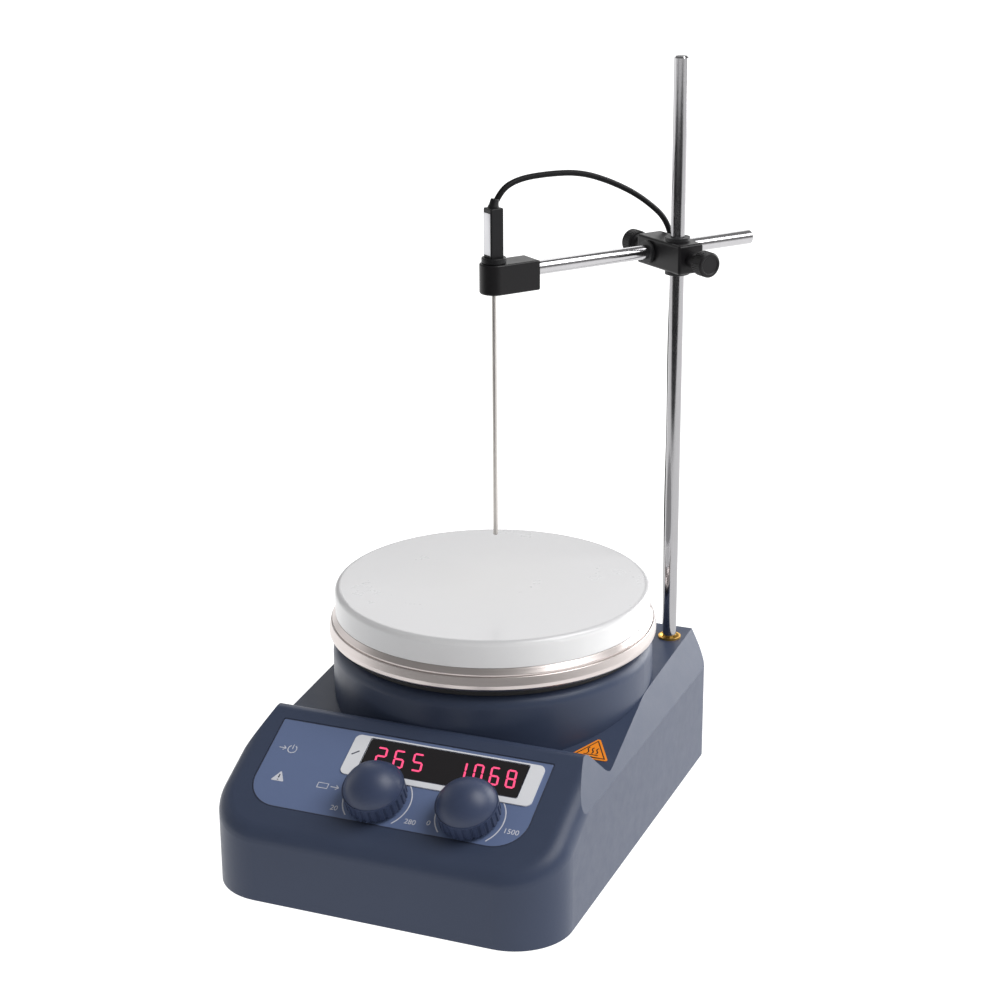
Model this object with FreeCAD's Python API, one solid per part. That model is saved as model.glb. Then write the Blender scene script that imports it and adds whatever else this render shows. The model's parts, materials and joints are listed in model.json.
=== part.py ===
import FreeCAD, Part
import math
import os

# Magnetic stirrer with a heated plate, support rod and temperature sensor.
# Millimetres. +X to the right, +Y to the back, +Z up. The origin is on the bench,
# under the axis of the heated plate. The sloping panel faces -Y.

# ---------------------------------------------------------------- driving sizes
body_width = 151.0
body_depth = 199.0
axis_from_front = 128.0
wall = 2.5
foot_height = 2.5

front_corner = 24.0
rear_corner = 6.0
ridge_height = 33.2
panel_angle = 26.5
panel_edge_round = 8.0
crest_from_front = 59.0
crest_round = 5.0
crest_back_angle = 50.0
valley_height = 48.8
valley_round = 6.0
deck_bend_height = 59.0
deck_bend_round = 60.0
deck_rear_height = 61.5
side_crease_height = 45.5
side_bevel_angle = 64.0

drum_radius = 68.8
drum_top = 76.0
drum_wall = 2.5
drum_shoulder = 5.0
deck_hole_radius = 60.0
chassis_height = 64.0
chassis_thickness = 1.5
ledge_width = 4.5
ledge_thickness = 1.8

rim_radius = 70.2
rim_bottom = 79.6
rim_top = 88.8
rim_floor = 1.0
cover_radius = 67.5
cover_height = 11.5
cover_top_thickness = 4.0
cover_skirt = 3.0
cover_edge_round = 2.5
plate_gap = 0.2
insulation_thickness = 4.4
heater_thickness = 2.0
post_radius = 3.0
post_circle = 54.0

motor_radius = 21.0
motor_length = 34.0
shaft_radius = 2.5
running_gap = 0.05
loose_gap = 0.3
magnet_radius = 8.0
magnet_height = 5.4
magnet_circle = 17.0
carrier_thickness = 5.0
carrier_clearance = 1.2

label_left = -62.0
label_right = 58.0
label_low = 13.5
label_high = 57.5
label_corner = 14.0
label_recess = 0.5
label_thickness = 0.35
frame_left = -27.5
frame_right = 55.0
frame_low = 35.0
frame_high = 55.3
frame_proud = 0.5
window_left = -20.5
window_right = 48.3
window_low = 38.0
window_high = 54.3
window_thickness = 1.8

label_side = 17.0
label_film = 0.25
label_x = 62.2
label_y = -45.5
label_turn = 0.0

heat_knob_x = -6.8
speed_knob_x = 33.1
knob_slope = 26.0
knob_radius = 12.6
knob_height = 15.5
knob_skirt = 7.0
knob_clearance = 1.3
knob_flutes = 26
flute_radius = 0.75
push_travel = 0.8
encoder_side = 13.0
encoder_shaft = 2.0
encoder_sleeve = 0.7
encoder_bushing = 0.7
bushing_proud = 3.4
board_depth = 8.0
board_thickness = 1.6

rocker_from_front = 46.0
rocker_height = 25.0
rocker_length = 15.0
rocker_width = 9.2
rocker_tilt = 7.0
rocker_wall = 1.6

inlet_x = -36.0
rear_row_height = 27.0
inlet_width = 27.0
inlet_height = 19.6
inlet_wall = 1.5
inlet_depth = 16.0
fuse_x = -8.0
fuse_radius = 6.0
socket_x = 14.0
socket_radius = 6.5
plug_radius = 5.6
plug_length = 22.0

rod_x = 61.0
rod_inset = 12.0
rod_radius = 3.0
rod_top = 318.0
rod_bottom = 30.0
sleeve_radius = 5.0
rod_post = 8.5

arm_angle = 53.7
arm_height = 234.9
arm_radius = 3.0
arm_spacing = 12.4
arm_reach = 83.1
arm_tail = 48.0
boss_depth = 12.5
boss_height = 12.5
boss_end_rod = 10.0
boss_end_arm = 8.6
rod_liner_radius = 4.3
arm_liner_radius = 3.9
liner_flange = 0.9
liner_flange_thickness = 1.6
screw_radius = 2.0
screw_head_radius = 5.3
screw_head_length = 6.0
screw_neck = 7.0

holder_width = 12.0
holder_length = 18.5
holder_low = 227.0
holder_high = 239.6
arm_seat = 12.0
probe_radius = 1.0
probe_tip = 122.0
flange_radius = 5.1
flange_height = 2.4
handle_side = 6.1
handle_round = 0.6
handle_top = 262.3

cord_radius = 1.25
drop_left_of_rod = 10.6
drop_behind_rod = 25.9
coil_x = 24.0
coil_behind = 55.0
coil_radius = 14.0
coil_half_width = 4.2
coil_height = 8.5
lead_in_radius = 16.1
lead_in_height = 2.2
lead_out_radius = 16.9
lead_out_height = 3.9

# ---------------------------------------------------------------- worked out sizes
half_width = body_width / 2
front_y = -axis_from_front
rear_y = body_depth - axis_from_front
slope = math.radians(panel_angle)
rise = math.tan(slope)
crest_height = ridge_height + crest_from_front * rise
valley_y = front_y + crest_from_front + (crest_height - valley_height) / math.tan(
    math.radians(crest_back_angle))
rod_y = rear_y - rod_inset
floor_top = foot_height + 1.5
cover_top = rim_top + cover_height
drop_x = rod_x - drop_left_of_rod
drop_y = rod_y + drop_behind_rod
coil_y = rear_y + coil_behind


def vec(x, y, z):
    return FreeCAD.Vector(x, y, z)


UP = vec(0, 0, 1)


# ---------------------------------------------------------------- shape helpers
def block(x0, x1, y0, y1, z0, z1):
    return Part.makeBox(x1 - x0, y1 - y0, z1 - z0, vec(x0, y0, z0))


def rod_z(radius, z0, z1, x=0.0, y=0.0):
    return Part.makeCylinder(radius, z1 - z0, vec(x, y, z0))


def rod_along(radius, start, end):
    """Round bar from one point to another."""
    way = end - start
    return Part.makeCylinder(radius, way.Length, start, way)


def ring_z(outer, inner, z0, z1, x=0.0, y=0.0):
    return rod_z(outer, z0, z1, x, y).cut(rod_z(inner, z0 - 1, z1 + 1, x, y))


def outline(corners, to_space):
    """Closed wire through corners (u, v, radius), each rounded by an arc of its radius."""
    starts, ends, arcs = [], [], []
    count = len(corners)
    for i, (u, v, radius) in enumerate(corners):
        here = vec(u, v, 0)
        back = (vec(*corners[i - 1][:2], 0) - here).normalize()
        ahead = (vec(*corners[(i + 1) % count][:2], 0) - here).normalize()
        if radius <= 0:
            starts.append(here)
            ends.append(here)
            arcs.append(None)
            continue
        half = back.getAngle(ahead) / 2
        middle = (back + ahead).normalize()
        reach = radius / math.tan(half)
        starts.append(here + back * reach)
        ends.append(here + ahead * reach)
        arcs.append(here + middle * (radius / math.sin(half) - radius))
    edges = []
    for i in range(count):
        if arcs[i] is not None:
            three = [to_space(p.x, p.y) for p in (starts[i], arcs[i], ends[i])]
            edges.append(Part.Arc(*three).toShape())
        a, b = ends[i], starts[(i + 1) % count]
        if (b - a).Length > 1e-6:
            edges.append(Part.LineSegment(to_space(a.x, a.y), to_space(b.x, b.y)).toShape())
    return Part.Wire(edges)


def flat_xy(z):
    return lambda u, v: vec(u, v, z)


def side_yz(x):
    return lambda u, v: vec(x, u, v)


def prism(corners, to_space, way):
    return Part.Face(outline(corners, to_space)).extrude(way)


def turned(corners):
    """Solid of revolution about Z from corners (radius, height, corner radius)."""
    face = Part.Face(outline(corners, lambda u, v: vec(u, 0, v)))
    return face.revolve(vec(0, 0, 0), UP, 360)


def rounded_box(x0, x1, y0, y1, z0, z1, radius):
    corners = [(x0, y0, radius), (x1, y0, radius), (x1, y1, radius), (x0, y1, radius)]
    return prism(corners, flat_xy(z0), vec(0, 0, z1 - z0))


def on_panel(shape, x=0.0, along=0.0, lift=0.0):
    """Puts a shape made flat (Y up the slope, Z out) on the panel."""
    turn = FreeCAD.Rotation(vec(1, 0, 0), panel_angle)
    foot = vec(x, front_y, ridge_height)
    base = foot + turn.multVec(vec(0, along, lift))
    placed = shape.copy()
    placed.Placement = FreeCAD.Placement(base, turn).multiply(shape.Placement)
    return placed


def on_arm(shape, centre):
    """Puts a shape made with its arm along X at a point, turned to the arm's direction."""
    placed = shape.copy()
    turn = FreeCAD.Rotation(UP, arm_angle)
    placed.Placement = FreeCAD.Placement(centre, turn).multiply(shape.Placement)
    return placed


def arm_vector(x, y=0.0, z=0.0):
    return FreeCAD.Rotation(UP, arm_angle).multVec(vec(x, y, z))


# ---------------------------------------------------------------- housing
def inset_corners(points, insets):
    """Moves each side of a polygon inwards by its inset and returns the new corners."""
    lines = []
    count = len(points)
    for i in range(count):
        a = vec(*points[i], 0)
        b = vec(*points[(i + 1) % count], 0)
        way = (b - a).normalize()
        inward = vec(way.y, -way.x, 0)
        lines.append((a + inward * insets[i], way))
    corners = []
    for i in range(count):
        p, d = lines[i - 1]
        q, e = lines[i]
        t = ((q.x - p.x) * e.y - (q.y - p.y) * e.x) / (d.x * e.y - d.y * e.x)
        corners.append((p.x + d.x * t, p.y + d.y * t))
    return corners


def side_profile(inset):
    """Side view of the housing, clockwise from the bottom of the front wall."""
    points = [
        (front_y, foot_height),
        (front_y, ridge_height),
        (front_y + crest_from_front, crest_height),
        (valley_y, valley_height),
        (0.0, deck_bend_height),
        (rear_y, deck_rear_height),
        (rear_y, foot_height),
    ]
    moved = inset_corners(points, [inset] * 6 + [0.0])
    rounds = [0, 0, crest_round - inset, valley_round + inset, deck_bend_round, 0, 0]
    return [(y, z, r) for (y, z), r in zip(moved, rounds)]


def plan_corners(inset):
    x = half_width - inset
    near = front_y + inset
    far = rear_y - inset
    return [(-x, near, front_corner - inset), (x, near, front_corner - inset),
            (x, far, rear_corner - inset), (-x, far, rear_corner - inset)]


def bevel_cutters(inset):
    """The two wedges that lean the upper sides of the housing inwards."""
    lean = math.radians(side_bevel_angle)
    top = crest_height + 40
    crease = side_crease_height - inset * math.tan(math.radians(90 - side_bevel_angle) / 2)
    x_low = half_width - inset
    x_high = x_low - (top - crease) / math.tan(lean)
    wedge = [(x_low, crease, 0), (x_low + 20, crease, 0), (x_low + 20, top, 0), (x_high, top, 0)]
    right = prism(wedge, lambda u, v: vec(u, front_y - 5, v), vec(0, body_depth + 10, 0))
    return [right, right.mirror(vec(0, 0, 0), vec(1, 0, 0))]


def panel_wedge():
    """The plan outline cut by the panel's plane, with the panel's edge rounded over."""
    beyond = 30.0
    plan = plan_corners(0)
    plan = plan[:2] + [(half_width, rear_y + beyond, 0), (-half_width, rear_y + beyond, 0)]
    top_y = rear_y + beyond + 10
    tall = prism(plan, flat_xy(foot_height), vec(0, 0, crest_height + 100))
    under = [
        (front_y - 10, -10, 0),
        (front_y - 10, ridge_height - 10 * rise, 0),
        (top_y, ridge_height + (top_y - front_y) * rise, 0),
        (top_y, -10, 0),
    ]
    wedge = tall.common(prism(under, side_yz(-half_width - 10), vec(body_width + 20, 0, 0)))
    edges = []
    for edge in wedge.Edges:
        gaps = [abs(v.Z - ridge_height - (v.Y - front_y) * rise) for v in edge.Vertexes]
        if max(gaps) < 1e-4 and min(v.Y for v in edge.Vertexes) < rear_y:
            edges.append(edge)
    return wedge.makeFillet(panel_edge_round, edges)


def housing_form(inset):
    """Outer form of the housing, or with an inset the space inside its walls."""
    profile = prism(side_profile(inset), side_yz(-half_width - 5), vec(body_width + 10, 0, 0))
    plan = prism(plan_corners(inset), flat_xy(foot_height), vec(0, 0, crest_height + 20))
    form = profile.common(plan)
    for cutter in bevel_cutters(inset):
        form = form.cut(cutter)
    return form


def post_places():
    side = half_width - 14.0
    return [(-side, front_y + 14.0), (side, front_y + 14.0), (-side, rear_y - 30.0),
            (side, rear_y - 30.0)]


def label_shape(gap, low, high):
    corners = [
        (label_left + gap, label_low + gap, label_corner),
        (label_right - gap, label_low + gap, label_corner),
        (label_right - gap, label_high - gap, 1.0),
        (label_left + gap, label_high - gap, 1.0),
    ]
    return prism(corners, flat_xy(low), vec(0, 0, high - low))


def window_shape(gap, low, high):
    return rounded_box(window_left - gap, window_right + gap, window_low - gap,
                       window_high + gap, low, high, 0.8)


def knob_hole(x):
    radius = encoder_shaft + running_gap * 2 + encoder_sleeve + encoder_bushing
    return rod_z(radius, -wall - 2, 2.0, x, knob_slope)


def rear_bore(x, radius, depth=10.0):
    start = vec(x, rear_y + 5, rear_row_height)
    return rod_along(radius, start, start - vec(0, depth, 0))


def rocker_centre():
    return vec(-half_width, front_y + rocker_from_front, rocker_height)


def rocker_body_half():
    return (rocker_length / 2 + 0.7 + rocker_wall, rocker_width / 2 + 0.3 + rocker_wall)


def housing_shell():
    outer = housing_form(0).common(panel_wedge())
    space = housing_form(wall)
    shell = outer.cut(space)
    posts = [rod_z(3.6, floor_top, crest_height, x, y) for x, y in post_places()]
    posts.append(rod_z(rod_post, rod_bottom - 2, deck_rear_height, rod_x, rod_y))
    for post in posts:
        shell = shell.fuse(post.common(space))
    for x, y in post_places():
        shell = shell.cut(rod_z(1.3, floor_top - 1, floor_top + 9, x, y))
    cuts = [on_panel(label_shape(0, -label_recess, 10)),
            on_panel(window_shape(0, -10, 1)),
            on_panel(knob_hole(heat_knob_x)),
            on_panel(knob_hole(speed_knob_x)),
            rod_z(deck_hole_radius, 20, crest_height + 20),
            rod_z(sleeve_radius, rod_bottom - 5, crest_height + 20, rod_x, rod_y),
            rear_bore(fuse_x, fuse_radius - 0.8), rear_bore(socket_x, socket_radius)]
    half_l, half_w = rocker_body_half()
    at = rocker_centre()
    cuts.append(block(at.x - 5, at.x + 10, at.y - half_l, at.y + half_l, at.z - half_w,
                      at.z + half_w))
    cuts.append(block(inlet_x - inlet_width / 2, inlet_x + inlet_width / 2, rear_y - 8,
                      rear_y + 5, rear_row_height - inlet_height / 2,
                      rear_row_height + inlet_height / 2))
    for cutter in cuts:
        shell = shell.cut(cutter)
    return shell.removeSplitter()


def base_plate():
    gap = wall + 0.3
    plate = prism(plan_corners(gap), flat_xy(foot_height), vec(0, 0, floor_top - foot_height))
    for x, y in post_places():
        plate = plate.cut(rod_z(1.7, 0, floor_top + 1, x, y))
    for side in (-1, 1):
        for step in range(6):
            x = side * (18.0 + 6.0 * step)
            plate = plate.cut(rounded_box(x - 1.2, x + 1.2, -30, 0, 0, floor_top + 1, 1.1))
    return plate


def feet():
    solids = []
    inset = 22.0
    for x in (-half_width + inset, half_width - inset):
        for y in (front_y + inset + 4, rear_y - inset + 4):
            foot = turned([(0, 0, 0), (6.2, 0, 0), (7.0, foot_height, 0), (0, foot_height, 0)])
            solids.append(foot.translated(vec(x, y, 0)))
    return Part.makeCompound(solids)


def base_screws():
    screw = rod_z(2.7, foot_height - 1.3, foot_height).fuse(
        rod_z(1.3, foot_height, floor_top + 8))
    return Part.makeCompound([screw.translated(vec(x, y, 0)) for x, y in post_places()])


# ---------------------------------------------------------------- drum and heated plate
def pedestal():
    """The round drum that stands on the sloping deck and carries the plate."""
    inner = drum_radius - drum_wall
    low = valley_height - 15
    lip = drum_top - drum_wall
    wall_ring = turned([
        (inner, low, 0), (drum_radius, low, 0), (drum_radius, drum_top, drum_shoulder),
        (inner - ledge_width, drum_top, 0), (inner - ledge_width, lip, 0), (inner, lip, 0),
    ])
    ledge = ring_z(inner, inner - ledge_width, chassis_height - ledge_thickness, chassis_height)
    return wall_ring.fuse(ledge).cut(housing_form(0)).removeSplitter()


def chassis_disc():
    """Steel disc inside the drum that the motor hangs from and the posts stand on."""
    radius = drum_radius - drum_wall
    top = chassis_height + chassis_thickness
    disc = rod_z(radius, chassis_height, top)
    return disc.cut(rod_z(9.0, chassis_height - 1, top + 1))


def plate_posts():
    solids = []
    for step in range(4):
        angle = math.radians(45 + 90 * step)
        x, y = post_circle * math.cos(angle), post_circle * math.sin(angle)
        solids.append(rod_z(post_radius, chassis_height + chassis_thickness, rim_bottom, x, y))
    return Part.makeCompound(solids)


def heat_collar():
    inner = drum_radius - drum_wall - ledge_width
    return ring_z(inner + 3.5, inner - 0.8, drum_top, rim_bottom)


def rim_pan():
    """Steel pan: a floor and an outer band with a groove round it."""
    r = rim_radius
    inner = cover_radius - 1.3
    return turned([
        (0, rim_bottom, 0), (r - 0.9, rim_bottom, 0), (r, rim_bottom + 0.9, 0.5),
        (r, rim_bottom + 2.6, 0.8), (r - 0.8, rim_top - 3.3, 0.4), (r - 1.6, rim_top - 3.0, 0),
        (r - 1.6, rim_top - 2.5, 0), (r - 1.2, rim_top - 2.3, 0.2), (cover_radius, rim_top, 0),
        (inner, rim_top, 0), (inner, rim_bottom + rim_floor, 0), (0, rim_bottom + rim_floor, 0),
    ])


def insulation_pad():
    low = rim_bottom + rim_floor
    pad = rod_z(cover_radius - 1.5, low, low + insulation_thickness)
    return pad.cut(sensor_bore(low - 1, cover_top))


def heater_level():
    return rim_bottom + rim_floor + insulation_thickness


def heating_element():
    level = heater_level()
    return ring_z(58.0, 26.0, level, level + heater_thickness)


def plate_radius():
    return cover_radius - cover_skirt - plate_gap


def heating_plate():
    low = heater_level() + heater_thickness
    high = cover_top - cover_top_thickness - 0.1
    return rod_z(plate_radius(), low, high).cut(sensor_bore(low - 1, low + 4))


def plate_cover():
    inner = cover_radius - cover_skirt
    ceiling = cover_top - cover_top_thickness
    return turned([
        (inner, rim_top, 0), (cover_radius, rim_top, 0.4),
        (cover_radius, cover_top, cover_edge_round), (0, cover_top, 0), (0, ceiling, 0),
        (inner, ceiling, 0),
    ])


def sensor_bore(low, high):
    return rod_z(1.7, low, high, 8.0, 14.0)


def plate_sensor():
    low = rim_bottom + rim_floor
    return rod_z(1.6, low, heater_level() + heater_thickness + 3.8, 8.0, 14.0)


def safety_thermostat():
    return rod_z(7.0, rim_bottom - 6.0, rim_bottom, 0.0, -44.0)


# ---------------------------------------------------------------- drive
def motor_body():
    high = chassis_height
    can = rod_z(motor_radius, high - motor_length, high)
    neck = rod_z(8.0, high, high + chassis_thickness + 0.8)
    bore = rod_z(shaft_radius + running_gap, high - motor_length + 8, high + 10)
    return can.fuse(neck).cut(bore).removeSplitter()


def carrier_level():
    return rim_bottom - carrier_clearance - magnet_height - carrier_thickness


def motor_shaft():
    return rod_z(shaft_radius, chassis_height - motor_length + 9, carrier_level() + 4)


def magnet_carrier():
    low = carrier_level()
    reach = magnet_circle + magnet_radius
    bar = rounded_box(-reach, reach, -magnet_radius, magnet_radius, low, low + carrier_thickness,
                      magnet_radius - 0.1)
    return bar.cut(rod_z(shaft_radius, low - 1, low + 4))


def drive_magnets():
    low = carrier_level() + carrier_thickness
    return Part.makeCompound([rod_z(magnet_radius - 0.3, low, low + magnet_height, x, 0)
                              for x in (-magnet_circle, magnet_circle)])


# ---------------------------------------------------------------- panel
def panel_label():
    sheet = label_shape(0.35, -label_recess, -label_recess + label_thickness)
    sheet = sheet.cut(window_shape(0.1, -2, 2))
    for x in (heat_knob_x, speed_knob_x):
        sheet = sheet.cut(rod_z(6.1, -2, 2, x, knob_slope))
    return on_panel(sheet)


def display_frame():
    low = -label_recess + label_thickness
    plate = rounded_box(frame_left, frame_right, frame_low, frame_high, low,
                        low + frame_proud, 2.6)
    return on_panel(plate.cut(window_shape(0.1, -2, 2)))


def display_window():
    high = -label_recess + label_thickness + frame_proud - 0.1
    return on_panel(window_shape(-0.1, high - window_thickness, high))


def led_module():
    high = -wall
    return on_panel(block(window_left + 1, window_right - 1, window_low - 1, window_high,
                          -board_depth, high))


def bushing_outer():
    return encoder_shaft + running_gap * 2 + encoder_sleeve + encoder_bushing


def encoder_body(x):
    half = encoder_side / 2
    case = block(x - half, x + half, knob_slope - half, knob_slope + half - 1.2, -board_depth,
                 -wall)
    bushing = rod_z(bushing_outer(), -wall - 1, bushing_proud, x, knob_slope)
    bore = rod_z(bushing_outer() - encoder_bushing, -board_depth + 0.4, bushing_proud + 1, x,
                 knob_slope)
    return on_panel(case.fuse(bushing).cut(bore).removeSplitter())


def encoder_bodies():
    return Part.makeCompound([encoder_body(heat_knob_x), encoder_body(speed_knob_x)])


def encoder_nut(x):
    across = 5.0
    corners = []
    for step in range(6):
        angle = math.radians(30 + 60 * step)
        corners.append((x + across / math.cos(math.radians(30)) * math.cos(angle),
                        knob_slope + across / math.cos(math.radians(30)) * math.sin(angle), 0))
    nut = prism(corners[::-1], flat_xy(-label_recess), vec(0, 0, 1.6))
    return on_panel(nut.cut(rod_z(bushing_outer(), -2, 3, x, knob_slope)))


def encoder_nuts():
    return Part.makeCompound([encoder_nut(heat_knob_x), encoder_nut(speed_knob_x)])


def encoder_plunger(x):
    outer = encoder_shaft + running_gap + encoder_sleeve
    inner = encoder_shaft + running_gap
    low = -board_depth + 0.4 + push_travel + 0.2
    return on_panel(ring_z(outer, inner, low, bushing_proud + 0.2, x, knob_slope))


def encoder_stem(x):
    low = -board_depth + 0.4 + push_travel + 0.3
    return on_panel(rod_z(encoder_shaft, low, knob_clearance + knob_height - 5, x, knob_slope))


def control_knob(x):
    """Domed knob with a fluted skirt, hollow under, on a round stem."""
    low = knob_clearance
    skirt_top = low + knob_skirt
    top = low + knob_height
    foot = knob_radius - 0.5
    rise_up = top - skirt_top
    ball = (foot * foot + rise_up * rise_up) / (2 * rise_up)
    middle = math.asin(foot / ball) / 2
    halfway = vec(ball * math.sin(middle), 0, top - ball + ball * math.cos(middle))
    tip = vec(0.6, 0, top - ball + math.sqrt(ball * ball - 0.36))
    edges = [
        Part.LineSegment(vec(0, 0, low), vec(knob_radius, 0, low)).toShape(),
        Part.LineSegment(vec(knob_radius, 0, low), vec(knob_radius, 0, skirt_top)).toShape(),
        Part.LineSegment(vec(knob_radius, 0, skirt_top), vec(foot, 0, skirt_top)).toShape(),
        Part.Arc(vec(foot, 0, skirt_top), halfway, tip).toShape(),
        Part.LineSegment(tip, vec(0, 0, tip.z)).toShape(),
        Part.LineSegment(vec(0, 0, tip.z), vec(0, 0, low)).toShape(),
    ]
    knob = Part.Face(Part.Wire(edges)).revolve(vec(0, 0, 0), UP, 360)
    well = rod_z(knob_radius - 2.4, low - 1, skirt_top)
    hub = rod_z(encoder_shaft + 2, bushing_proud + push_travel + 0.5, skirt_top + 1)
    knob = knob.cut(well.cut(hub)).cut(rod_z(encoder_shaft, low, top - 5))
    flutes = []
    for step in range(knob_flutes):
        angle = 2 * math.pi * (step + 0.5) / knob_flutes
        spot = (knob_radius + 0.25) * vec(math.cos(angle), math.sin(angle), 0)
        flutes.append(rod_z(flute_radius, low - 1, skirt_top - 0.6, spot.x, spot.y))
    knob = knob.cut(flutes)
    return on_panel(knob, x, knob_slope)


def control_board():
    sheet = block(label_left + 6, label_right - 3, label_low + 4, window_high,
                  -board_depth - board_thickness, -board_depth)
    return on_panel(sheet)


# ---------------------------------------------------------------- electrics
def power_board():
    z = floor_top + 6
    return block(-50, 50, -42, 30, z, z + board_thickness)


def board_legs():
    return Part.makeCompound([rod_z(2.5, floor_top, floor_top + 6, x, y)
                              for x in (-45, 45) for y in (-37, 25)])


def power_parts():
    """Transformer, capacitors, relay and heat sink on the power board."""
    z = floor_top + 6 + board_thickness
    solids = [block(-44, -14, -36, -12, z, z + 16), block(24, 44, -36, -20, z, z + 15),
              block(-40, 40, 14, 18, z, z + 15)]
    solids += [rod_z(5.0, z, z + 14, x, -30) for x in (-4, 8)]
    return Part.makeCompound(solids)


def rocker_bezel():
    at = rocker_centre()
    half_l, half_w = rocker_body_half()
    body = block(at.x, at.x + 16, at.y - half_l, at.y + half_l, at.z - half_w, at.z + half_w)
    rim = rounded_box(-half_l - 1.2, half_l + 1.2, -half_w - 1.2, half_w + 1.2, 0, 1.0, 1.5)
    rim.Placement = FreeCAD.Placement(at, FreeCAD.Rotation(vec(0, 0, -1), vec(0, 1, 0),
                                                          vec(-1, 0, 0), 'ZYX'))
    cave_l, cave_w = half_l - rocker_wall, half_w - rocker_wall
    cave = block(at.x - 5, at.x + 9, at.y - cave_l, at.y + cave_l, at.z - cave_w, at.z + cave_w)
    pins = rod_z(1.0 + running_gap, at.z - half_w + 0.5, at.z + half_w - 0.5, at.x + 2.4, at.y)
    return body.fuse(rim).cut(cave).cut(pins).removeSplitter()


def rocker():
    """Two-way rocker on a cross pin, lying tilted to its on side."""
    at = rocker_centre()
    half_l, half_w = rocker_body_half()
    reach = rocker_length / 2
    corners = [(-1.0, 0, 1.0), (0.5, reach, 0.8), (5.5, reach - 0.6, 0), (6.2, 0, 0),
               (5.5, -reach + 0.6, 0), (0.5, -reach, 0.8)]
    paddle = prism([(u, v, r) for u, v, r in corners], flat_xy(-rocker_width / 2),
                   vec(0, 0, rocker_width))
    pin_reach = half_w - 0.7
    pin = rod_z(1.0, -pin_reach, pin_reach, 2.4, 0)
    piece = paddle.fuse(pin).removeSplitter()
    piece.rotate(vec(2.4, 0, 0), UP, rocker_tilt)
    return piece.translated(at)


def mains_inlet():
    """Three-pin appliance inlet in the rear wall."""
    w, h = inlet_width / 2, inlet_height / 2
    z = rear_row_height
    body = block(inlet_x - w, inlet_x + w, rear_y - inlet_depth - 1.5, rear_y, z - h, z + h)
    flange = block(inlet_x - w - 2, inlet_x + w + 2, rear_y, rear_y + 2, z - h - 1.5, z + h + 1.5)
    well = block(inlet_x - w + inlet_wall, inlet_x + w - inlet_wall,
                 rear_y + 2 - inlet_depth, rear_y + 3, z - h + inlet_wall, z + h - inlet_wall)
    return body.fuse(flange).cut(well).removeSplitter()


def inlet_pins():
    base = rear_y + 2 - inlet_depth
    pins = []
    for x, z in ((-7.0, -2.0), (7.0, -2.0), (0.0, 2.0)):
        low = rear_row_height + z - 2.0
        pins.append(block(inlet_x + x - 1, inlet_x + x + 1, base, base + 13.0, low, low + 4.0))
    return Part.makeCompound(pins)


def fuse_holder():
    start = vec(fuse_x, rear_y, rear_row_height)
    cap = rod_along(fuse_radius, start, start + vec(0, 3.5, 0))
    body = rod_along(fuse_radius - 0.8, start - vec(0, 20, 0), start)
    slot = block(fuse_x - 4, fuse_x + 4, rear_y + 2.7, rear_y + 4, rear_row_height - 0.6,
                 rear_row_height + 0.6)
    return cap.fuse(body).cut(slot).removeSplitter()


def sensor_socket():
    start = vec(socket_x, rear_y, rear_row_height)
    flange = rod_along(socket_radius + 1.5, start, start + vec(0, 1.5, 0))
    body = rod_along(socket_radius, start - vec(0, 11, 0), start)
    mouth = rod_along(plug_radius - 0.5, start - vec(0, 8, 0), start + vec(0, 5, 0))
    return flange.fuse(body).cut(mouth).removeSplitter()


def cord_plug():
    """Round plug standing in the sensor socket, with a grip and a tapered tail."""
    start = vec(socket_x, rear_y + 1.5, rear_row_height)
    nose = rod_along(plug_radius - 0.6, start - vec(0, 9, 0), start)
    grip = rod_along(plug_radius, start, start + vec(0, plug_length - 8, 0))
    tail = Part.makeCone(plug_radius - 1.6, cord_radius + 0.7, 6.5,
                         start + vec(0, plug_length - 8, 0), vec(0, 1, 0))
    return nose.fuse(grip).fuse(tail).removeSplitter()


def rod_bushing():
    """Brass sleeve in the deck that the support rod stands in."""
    top = deck_rear_height + 0.3
    sleeve = rod_z(sleeve_radius, rod_bottom - 2, top, rod_x, rod_y)
    bore = rod_z(rod_radius, rod_bottom, top + 1, rod_x, rod_y)
    mouth = Part.makeCone(rod_radius, rod_radius + 1.3, 1.3, vec(rod_x, rod_y, top - 1.2))
    return sleeve.cut(bore).cut(mouth)


# ---------------------------------------------------------------- support stand
def rod_foot():
    return vec(rod_x, rod_y, 0)


def support_rod():
    rod = rod_z(rod_radius, rod_bottom, rod_top, rod_x, rod_y)
    ends = [edge for edge in rod.Edges if isinstance(edge.Curve, Part.Circle)]
    return rod.makeChamfer(0.7, ends)


def boss_head():
    """Block with an upright bore for the rod and a cross bore for the arm."""
    half = boss_depth / 2
    body = block(-half, half, -boss_end_rod, arm_spacing + boss_end_arm, -boss_height / 2,
                 boss_height / 2)
    body = body.makeFillet(1.2, body.Edges)
    upright = rod_z(rod_liner_radius + running_gap, -boss_height, boss_height)
    cross = rod_along(arm_liner_radius + running_gap, vec(-20, arm_spacing, 0),
                      vec(20, arm_spacing, 0))
    rod_hole = rod_along(screw_radius + running_gap, vec(0, -boss_end_rod - 1, 0), vec(0, 0, 0))
    arm_hole = rod_along(screw_radius + running_gap, vec(0, arm_spacing + boss_end_arm + 1, 0),
                         vec(0, arm_spacing, 0))
    for bore in (upright, cross, rod_hole, arm_hole):
        body = body.cut(bore)
    return on_arm(body, vec(rod_x, rod_y, arm_height))


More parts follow.
